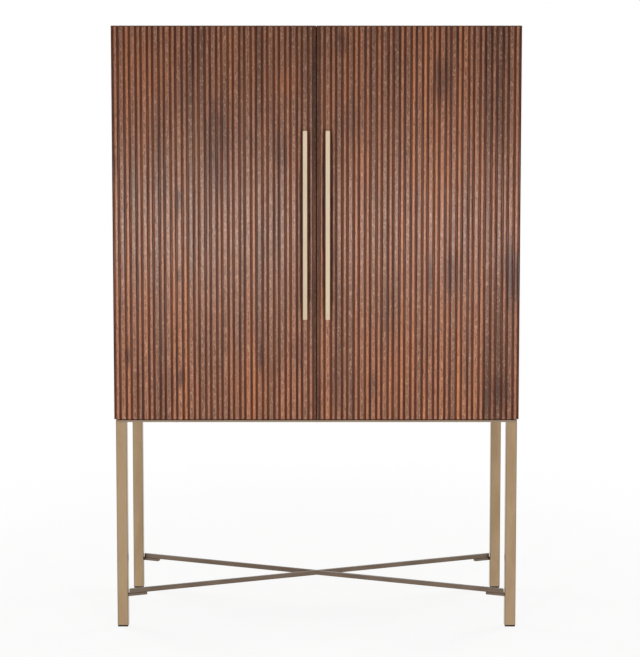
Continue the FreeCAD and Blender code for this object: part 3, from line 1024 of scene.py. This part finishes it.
@dataclass
class CaseBoards:
    """Sides, top, bottom and back of the case, and the screws of the back."""

    ease: float = 0.8 * MM
    back_ease: float = 0.3 * MM
    screw: ScrewHead = ScrewHead(3.4 * MM, 0.9 * MM)
    screw_inset: float = 5 * MM
    screws_up: int = 5
    screws_across: int = 5

    def back_screws(self) -> BMesh:
        """Screw heads round the edge of the back panel and along the fixed shelf.

        Returns:
            The new mesh.
        """
        low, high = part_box("back_panel")
        left, right = low.x + self.screw_inset, high.x - self.screw_inset
        bottom, top = low.z + self.screw_inset, high.z - self.screw_inset
        shelf = middle("fixed_shelf").z
        places = set()
        for number in range(self.screws_up):
            height = bottom + (top - bottom) * number / (self.screws_up - 1)
            places |= {(left, height), (right, height)}
        for number in range(1, self.screws_across - 1):
            x = left + (right - left) * number / (self.screws_across - 1)
            places |= {(x, bottom), (x, top), (x, shelf)}
        spots = (Vector((x, high.y, height)) for x, height in sorted(places))
        return self.screw.row(spots, Facing.BACK)

    def dress(self, finishes: FinishSet) -> None:
        """Make the finished boards.

        Args:
            finishes: Every finish of the object.
        """
        settle_copies(named("side_panel"), finishes.side, self.ease)
        settle_copies(("top_panel", "bottom_panel"), finishes.flat, self.ease)
        settle_copy("back_panel", finishes.back, self.back_ease)
        settle(self.back_screws(), "back_screws", finishes.steel, "case", "fitting_steel")


@dataclass
class BarFittings:
    """Shelves, divider, bottle rests and stemware rails."""

    ease: float = 1.0 * MM
    pin_ease: float = 0.3 * MM
    screw: ScrewHead = ScrewHead(3.2 * MM, 1.0 * MM)
    screw_inset: float = 30 * MM

    def rail_screws(self) -> BMesh:
        """Heads of the screws that hold the stemware rails to the top.

        Returns:
            The new mesh.
        """
        spots = []
        for node in named("stemware_rail"):
            low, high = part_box(node)
            for y in (low.y + self.screw_inset, high.y - self.screw_inset):
                spots.append(Vector(((low.x + high.x) / 2, y, low.z)))
        return self.screw.row(spots, Facing.DOWN)

    def dress(self, finishes: FinishSet) -> None:
        """Make the finished fittings.

        Args:
            finishes: Every finish of the object.
        """
        settle_copies(("fixed_shelf", "adjustable_shelf"), finishes.inside_flat, self.ease)
        settle_copy("centre_divider", finishes.inside_side, self.ease)
        settle_copies(named("bottle_rest"), finishes.rest, self.ease)
        settle_copies(named("stemware_rail"), finishes.runner, self.ease)
        settle_copy("shelf_pins", finishes.pin, self.pin_ease)
        settle(self.rail_screws(), "stemware_rail_screws", finishes.steel, "case", "fitting_steel")


@dataclass
class DoorHardware:
    """Hinges, magnetic catch, strike plates and bumpers."""

    leaf_ease: float = 0.3 * MM
    strike_ease: float = 0.3 * MM
    catch_ease: float = 1.2 * MM
    hinge_screw: ScrewHead = ScrewHead(2.6 * MM, 0.3 * MM)
    strike_screw: ScrewHead = ScrewHead(2.4 * MM, 0.1 * MM)
    catch_screw: ScrewHead = ScrewHead(3.0 * MM, 1.2 * MM)
    screw_steps: tuple[float, ...] = (0.16, 0.5, 0.84)
    plate_middle: float = 9 * MM
    strike_shares: tuple[float, ...] = (0.2, 0.8)
    catch_shares: tuple[float, ...] = (0.25, 0.75)
    least_front: float = 100 * MM * MM
    magnet_rim: float = 3.5 * MM
    magnet_draft: float = 0.2 * MM
    magnet_sink: float = 0.6 * MM
    magnet_fill: Triple = (0.96, 0.8, 0.92)
    magnet_ease: float = 0.15 * MM
    bumper_inset: float = 5 * MM
    bumper_spread: float = 3.6
    bumper_dome: tuple[tuple[float, float], ...] = ((0.0, 0.0), (0.55, 0.12 * MM), (0.85, 0.5 * MM))
    bumper_steps: int = 20

    def leaf_screws(self, leaves: Iterable[str], facing: Facing) -> BMesh:
        """Three screw heads on each given leaf.

        Args:
            leaves: Nodes of the leaves.
            facing: The way that the heads look.

        Returns:
            The new mesh.
        """
        spots = []
        for node in leaves:
            low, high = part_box(node)
            inner = min((low.x, high.x), key=abs)
            x = inner + math.copysign(self.plate_middle, inner)
            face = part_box(f"door_{'left' if inner < 0 else 'right'}")[1].y
            y = face if facing is Facing.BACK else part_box("side_panel_left")[0].y
            spots += [Vector((x, y, low.z + (high.z - low.z) * share)) for share in self.screw_steps]
        return self.hinge_screw.row(spots, facing)

    def catch(self) -> tuple[BMesh, BMesh]:
        """Housing of the catch with two sunk fields, and the two magnets in them.

        Returns:
            The housing and the magnets.
        """
        housing = eased_copy("door_catch", self.catch_ease)
        whole = housing.verts[:] + housing.edges[:] + housing.faces[:]
        bmesh.ops.bisect_plane(housing, geom=whole, plane_co=(0, 0, 0), plane_no=(1, 0, 0))
        fronts = [face for face in housing.faces
                  if face.normal.y < -math.cos(FLAT_ANGLE) and face.calc_area() > self.least_front]
        for thickness, depth in ((self.magnet_rim, 0.0), (self.magnet_draft, -self.magnet_sink)):
            bmesh.ops.inset_individual(housing, faces=fronts, thickness=thickness, depth=depth)
        magnets = bmesh.new()
        for face in fronts:
            xs = [vert.co.x for vert in face.verts]
            zs = [vert.co.z for vert in face.verts]
            room = (max(xs) - min(xs), 2 * self.magnet_sink, max(zs) - min(zs))
            size = Matrix.Diagonal((*(side * share for side, share in zip(room, self.magnet_fill)), 1))
            where = Matrix.Translation(face.calc_center_median()) @ size
            made = bmesh.ops.create_cube(magnets, size=1.0, matrix=where)["verts"]
            edges = list({edge for vert in made for edge in vert.link_edges})
            round_over(magnets, edges, self.magnet_ease)
        return housing, magnets

    def bumpers(self) -> BMesh:
        """Four domed pads where the doors meet the case.

        Returns:
            The new mesh.
        """
        low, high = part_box("door_bumpers")
        thickness = high.y - low.y
        radius = thickness * self.bumper_spread
        bm = bmesh.new()
        for x in (low.x + self.bumper_inset, high.x - self.bumper_inset):
            for z in (low.z + self.bumper_inset, high.z - self.bumper_inset):
                profile = (*self.bumper_dome, (1.0, thickness), (0.0, thickness))
                outline = [Vector((x + radius * share, low.y + rise, z)) for share, rise in profile]
                turned(bm, outline, Vector((x, low.y, z)), Facing.BACK.axis, self.bumper_steps)
        return bm

    def dress(self, finishes: FinishSet) -> None:
        """Make the finished hardware.

        Args:
            finishes: Every finish of the object.
        """
        settle_copies(named("hinge_door_leaf", "hinge_case_leaf"), finishes.hinge, self.leaf_ease)
        settle_copies(named("hinge_pin"), finishes.pin, self.leaf_ease)
        settle_copies(named("strike_plate"), finishes.steel, self.strike_ease)
        for side in Side:
            leaves = [node for node in named("hinge_door_leaf") if node.endswith(side.word)]
            heads = self.leaf_screws(leaves, Facing.BACK)
            settle(heads, f"hinge_door_screws_{side.word}", finishes.hinge, side.body, "hinge_brass")
            low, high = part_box(f"strike_plate_{side.word}")
            spots = [Vector((low.x + (high.x - low.x) * share, high.y, (low.z + high.z) / 2))
                     for share in self.strike_shares]
            heads = self.strike_screw.row(spots, Facing.BACK)
            settle(heads, f"strike_screws_{side.word}", finishes.steel, side.body, "fitting_steel")
        heads = self.leaf_screws(named("hinge_case_leaf"), Facing.FRONT)
        settle(heads, "hinge_case_screws", finishes.hinge, "case", "hinge_brass")
        housing, magnets = self.catch()
        settle(housing, "catch_housing", finishes.catch, "case", SLOT_OF["door_catch"], ("door_catch",))
        settle(magnets, "catch_magnets", finishes.steel, "case", "fitting_steel")
        low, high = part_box("door_catch")
        spots = [Vector((low.x + (high.x - low.x) * share, (low.y + high.y) / 2, low.z))
                 for share in self.catch_shares]
        heads = self.catch_screw.row(spots, Facing.DOWN)
        settle(heads, "catch_screws", finishes.steel, "case", "fitting_steel")
        settle(self.bumpers(), "domed_bumpers", finishes.rubber, "case", SLOT_OF["door_bumpers"],
               ("door_bumpers",))


@dataclass
class TubeStand:
    """Square tube legs, flat rails, the crossed brace with its tabs, glides and frame screws."""

    tube_ease: float = 3.6 * MM
    tube_steps: int = 4
    bar_ease: float = 0.6 * MM
    glide_ease: float = 0.8 * MM
    screw: ScrewHead = ScrewHead(4.5 * MM, 2.0 * MM)
    screw_shares: tuple[float, ...] = (0.15, 0.5, 0.85)

    def frame_screws(self) -> BMesh:
        """Heads of the screws that go up through the rails into the case.

        Returns:
            The new mesh.
        """
        spots = []
        for node in named("frame_rail"):
            low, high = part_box(node)
            along = 0 if high.x - low.x > high.y - low.y else 1
            for share in self.screw_shares:
                spot = (low + high) / 2
                spot[along] = low[along] + (high[along] - low[along]) * share
                spot.z = low.z
                spots.append(spot)
        return self.screw.row(spots, Facing.DOWN)

    def leg(self, node: str) -> BMesh:
        """Copy a leg with rounded corners, which are marked for the finish's painted shade.

        Args:
            node: Node of the leg.

        Returns:
            The new mesh.
        """
        bm = eased_copy(node, self.tube_ease, self.tube_steps,
                        lambda edge: abs(edge_way(edge).z) > UPRIGHT_RISE)
        corner = bm.faces.layers.float.new("corner")
        for face in bm.faces:
            face[corner] = float(max(abs(share) for share in face.normal) < math.cos(FLAT_ANGLE))
        return bm

    def dress(self, finishes: FinishSet) -> None:
        """Make the finished stand.

        Args:
            finishes: Every finish of the object.
        """
        for node in named("leg"):
            settle(self.leg(node), f"finished_{node}", finishes.upright, "case", SLOT_OF[node], (node,))
        for node in named("frame_rail"):
            deep = node.endswith(("rail_left", "rail_right"))
            settle_copy(node, finishes.deep if deep else finishes.across, self.bar_ease)
        settle_copies(named("brace"), finishes.brace, self.bar_ease)
        settle_copies(named("glide"), finishes.glide, self.glide_ease)
        settle(self.frame_screws(), "frame_screws", finishes.steel, "case", "fitting_steel")


class LampUse(Enum):
    """Whether a lamp lights surfaces or only shows as sheen on them."""

    LIGHT = "light"
    SHEEN = "sheen"


@dataclass(frozen=True)
class Softbox:
    """A rectangular lamp: its middle, aim, width and height, power in watts, and what it is for."""

    name: str
    place: Triple
    aim: Triple
    size: tuple[float, float]
    power: float
    use: LampUse = LampUse.LIGHT

    def hang(self) -> None:
        """Add the lamp to the scene; a sheen lamp falls on the doors alone."""
        lamp = bpy.data.lights.new(self.name, "AREA")
        lamp.shape = "RECTANGLE"
        lamp.size, lamp.size_y = self.size
        lamp.energy = self.power
        holder = bpy.data.objects.new(self.name, lamp)
        holder.location = self.place
        holder.rotation_euler = (Vector(self.aim) - Vector(self.place)).to_track_quat("-Z", "Y").to_euler()
        holder.visible_camera = False
        holder.visible_glossy = self.use is LampUse.SHEEN
        holder.visible_diffuse = self.use is LampUse.LIGHT
        if self.use is LampUse.SHEEN:
            holder.light_linking.receiver_collection = bpy.data.collections[SHEEN_DOORS]
        bpy.context.scene.collection.objects.link(holder)


def both_sides(name: str, place: Triple, aim: Triple, size: tuple[float, float], power: float,
               use: LampUse = LampUse.LIGHT) -> tuple[Softbox, ...]:
    """The same lamp on both sides.

    Args:
        name: Name without the side.
        place: Middle of the right lamp.
        aim: Point that both look at.
        size: Width and height.
        power: Power of each in watts.
        use: What they are for.

    Returns:
        The left and the right lamp.
    """
    away, *rest = place
    return tuple(Softbox(f"{name}_{side.word}", (side.value * away, *rest), aim, size, power, use)
                 for side in Side)


SOFTBOXES = (
    *both_sides("key", (1.75, -1.75, 0.7), (0.0, -0.18, 0.8), (0.45, 0.8), 2.5),
    *both_sides("sheen", (0.5, -2.1, 0.84), (0.0, -0.18, 0.9), (0.2, 0.5), 50.0, LampUse.SHEEN),
    *both_sides("low", (1.2, -1.35, 0.22), (0.0, -0.18, 0.7), (0.5, 0.4), 4.0),
    *both_sides("front", (0.45, -2.1, 0.8), (0.0, -0.18, 0.8), (0.12, 0.5), 13.5),
    *both_sides("behind", (2.4, 1.6, 1.5), (0.0, 0.2, 0.8), (1.2, 1.6), 42.0),
    Softbox("overhead", (0.0, 0.3, 3.2), (0.0, 0.0, 0.0), (2.2, 2.2), 22.0),
)


@dataclass
class Studio:
    """Floor, light and camera."""

    floor_reach: float = 14.0
    floor_shade: Colour = (0.92, 0.92, 0.92, 1.0)
    floor_roughness: float = 0.9
    floor_gloss: float = 0.1
    fade_start: float = 0.9
    fade_end: float = 2.2
    near_white: float = 0.86
    ambient: float = 0.13
    softboxes: tuple[Softbox, ...] = SOFTBOXES
    camera_place: Triple = (0.0082, -4.3389, 1.1344)
    camera_tilt: float = math.radians(4.654)
    lens: float = 98.88
    shift: float = -0.06

    @staticmethod
    def white_rays(sketch: Sketch) -> Socket:
        """Mask of the rays that should see a white background.

        Args:
            sketch: Sketch to draw in.

        Returns:
            1 for those rays, else 0.
        """
        rays = sketch.node("LightPath").outputs
        seen = sketch.maths("MAXIMUM", rays["Is Camera Ray"], rays["Is Glossy Ray"])
        return sketch.maths("MAXIMUM", seen, rays["Is Transmission Ray"])

    def floor(self) -> None:
        """Pale floor that keeps the shadow near the object and is white further out."""
        bm = bmesh.new()
        bmesh.ops.create_grid(bm, x_segments=1, y_segments=1, size=self.floor_reach)
        mesh = bpy.data.meshes.new("floor")
        bm.to_mesh(mesh)
        bm.free()
        sketch = MaterialSketch("floor_paper")
        place = sketch.node("TexCoord").outputs["Object"]
        fade = sketch.spread(sketch.length(place), self.fade_start, self.fade_end, self.near_white, 1.0)
        share = sketch.maths("MULTIPLY", fade, self.white_rays(sketch))
        white = sketch.node("Emission").outputs[0]
        sketch.feed(Base_Color=self.floor_shade, Roughness=self.floor_roughness,
                    Specular_IOR_Level=self.floor_gloss)
        both = sketch.node("MixShader", inputs={0: share, 1: sketch.shader.outputs[0], 2: white}).outputs[0]
        sketch.put(both, sketch.output.inputs["Surface"])
        mesh.materials.append(sketch.material)
        floor = bpy.data.objects.new("floor", mesh)
        bpy.context.scene.collection.objects.link(floor)

    def world(self) -> None:
        """Even light all round, white where the camera or a reflection sees it."""
        world = bpy.data.worlds.new("studio")
        world.use_nodes = True
        bpy.context.scene.world = world
        sketch = Sketch(world.node_tree)
        sketch.tree.nodes.clear()
        soft, white = (
            sketch.node("Background", inputs={"Color": WHITE, "Strength": strength}).outputs[0]
            for strength in (self.ambient, 1.0)
        )
        both = sketch.node("MixShader", inputs={0: self.white_rays(sketch), 1: soft, 2: white}).outputs[0]
        sketch.node("OutputWorld", inputs={"Surface": both})

    def camera(self) -> None:
        """Camera at the photograph's viewing angle."""
        data = bpy.data.cameras.new("camera")
        data.lens = self.lens
        data.shift_y = self.shift
        camera = bpy.data.objects.new("camera", data)
        camera.location = self.camera_place
        camera.rotation_euler = (QUARTER_TURN - self.camera_tilt, 0.0, 0.0)
        bpy.context.scene.collection.objects.link(camera)
        bpy.context.scene.camera = camera

    def build(self) -> None:
        """Set up everything round the object."""
        self.floor()
        self.world()
        for softbox in self.softboxes:
            softbox.hang()
        self.camera()
        bpy.context.scene.view_settings.view_transform = "Standard"


SLATE_PATCHES = (
    Patch(-316, 1010, 9, 52, 0.75), Patch(-232, 1120, 34, 150, 0.4), Patch(-84, 1105, 24, 60, 0.4),
    Patch(-440, 640, 10, 30, 0.7), Patch(-128, 640, 9, 42, 0.7), Patch(-314, 590, 9, 26, 0.6),
    Patch(-465, 1080, 9, 60, 0.6), Patch(-46, 650, 22, 60, 0.25), Patch(-318, 830, 8, 22, 0.5),
    Patch(78, 1190, 36, 60, 0.35), Patch(284, 1270, 18, 85, 0.55), Patch(234, 1000, 6, 60, 0.5),
    Patch(312, 830, 32, 62, 0.35), Patch(262, 830, 6, 50, 0.6), Patch(452, 830, 22, 95, 0.7),
    Patch(428, 560, 44, 48, 0.45), Patch(44, 580, 16, 90, 0.3), Patch(132, 575, 9, 46, 0.5),
    Patch(62, 1360, 16, 34, 0.5),
)
# Broad pale patch on the left door at mid height: painted sheen.
PAINTED_SHEEN_PATCHES = (Patch(-235, 930, 330, 300, 0.1),)
HANDLE_AWAY = 26
HANDLE_MIDDLE = 944
BAND_AWAY = 9.2
# Dark bands on either side of each handle: painted shadow of the handles.
PAINTED_HANDLE_SHADOW_PATCHES = tuple(
    Patch(side.value * (HANDLE_AWAY + away), HANDLE_MIDDLE, half_width=6.6, half_height=236, strength=0.9)
    for side in Side for away in (-BAND_AWAY, BAND_AWAY)
)
WARM_PATCHES = (
    Patch(286, 1040, 30, 120, 0.4), Patch(-150, 560, 60, 120, 0.25), Patch(-70, 1270, 30, 40, 0.4),
    Patch(-390, 1290, 60, 90, 0.25), Patch(180, 620, 70, 160, 0.25), Patch(110, 1080, 26, 60, 0.25),
    Patch(250, 960, 330, 300, 0.12),
)
DOOR_SHADES = shades((92, 66, 54), (122, 87, 70), (144, 98, 76), (156, 103, 75), (176, 115, 77))
CASE_SHADES = shades((84, 56, 44), (112, 75, 57), (136, 94, 71), (154, 106, 78), (174, 122, 88))
INSIDE_SHADES = shades((92, 62, 46), (120, 82, 60), (144, 101, 75), (163, 117, 87), (182, 135, 101))
BACK_SHADES = shades((90, 64, 49), (108, 77, 58), (124, 90, 68), (138, 101, 77), (150, 112, 86))
BRASS = shades((178, 153, 122), (156, 130, 98))
# A darker, greyer copy of the stand brass, for the rails across.
DARKER_RAIL_BRASS = shades((160, 140, 121), (142, 122, 103))
# Darker copy of the stand brass for the brace: painted shade.
BRASS_WITH_PAINTED_SHADE = shades((128, 112, 98), (100, 86, 74))
PALE_BRASS = shades((224, 204, 176), (206, 184, 154))
WORN_BRASS = shades((186, 156, 108), (150, 120, 76))
STEEL = shades((186, 186, 184), (150, 150, 150))


def all_finishes() -> FinishSet:
    """Build every finish once.

    Returns:
        The set of materials.
    """
    door = ReededDoor(Side.RIGHT)
    low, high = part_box(door.node)
    door_wood = ReededWoodFinish("reeded_door_wood", Lay.DOOR, DOOR_SHADES, crest=low.y, foot=door.foot,
                                 bottom=low.z, top=high.z, slate_patches=SLATE_PATCHES,
                                 warm_patches=WARM_PATCHES, rubbed_patches=PAINTED_SHEEN_PATCHES,
                                 handled_patches=PAINTED_HANDLE_SHADOW_PATCHES)
    inside = {"shades": INSIDE_SHADES, "roughness": 0.55, "relief": 0.25 * MM}
    return FinishSet(
        door=door_wood.material(),
        side=WoodFinish("case_wood_side", Lay.SIDE, CASE_SHADES).material(),
        flat=WoodFinish("case_wood_flat", Lay.SHELF, CASE_SHADES).material(),
        inside_flat=WoodFinish("inside_wood_flat", Lay.SHELF, **inside).material(),
        inside_side=WoodFinish("inside_wood_side", Lay.SIDE, **inside).material(),
        rest=WoodFinish("bottle_rest_wood", Lay.REST, stave_width=0.4, **inside).material(),
        runner=WoodFinish("stemware_rail_wood", Lay.RUNNER, stave_width=0.1, **inside).material(),
        back=WoodFinish("back_panel_wood", Lay.DOOR, BACK_SHADES, stave_width=0.6,
                        roughness=0.7).material(),
        handle=MetalFinish("handle_brass", Lay.DOOR, *PALE_BRASS).material(),
        upright=MetalFinish("stand_brass_upright", Lay.DOOR, *BRASS).material(),
        across=MetalFinish("stand_brass_across", Lay.SHELF, *DARKER_RAIL_BRASS).material(),
        deep=MetalFinish("stand_brass_deep", Lay.RUNNER, *BRASS).material(),
        brace=MetalFinish("stand_brass_brace", Lay.SHELF, *BRASS_WITH_PAINTED_SHADE, roughness=0.4).material(),
        hinge=MetalFinish("hinge_brass", Lay.DOOR, *WORN_BRASS).material(),
        pin=MetalFinish("pin_brass", Lay.DOOR, *WORN_BRASS, roughness=0.26).material(),
        steel=MetalFinish("fitting_steel", Lay.SHELF, *STEEL, roughness=0.32).material(),
        glide=MouldedFinish("glide_plastic", srgb(24, 23, 22), roughness=0.6).material(),
        catch=MouldedFinish("catch_plastic", srgb(70, 48, 36), roughness=0.5).material(),
        rubber=MouldedFinish("bumper_rubber", srgb(150, 148, 142), roughness=0.4).material(),
    )


def main() -> None:
    """Build and dress every sub-assembly, then the studio."""
    logging.basicConfig(level=logging.INFO, format="%(name)s %(message)s")
    finishes = all_finishes()
    bpy.data.collections.new(SHEEN_DOORS)
    for side in Side:
        ReededDoor(side).dress(finishes)
        BarHandle(side).dress(finishes)
    for assembly in (CaseBoards(), BarFittings(), DoorHardware(), TubeStand()):
        assembly.dress(finishes)
    Studio().build()


if __name__ == "__main__":
    main()
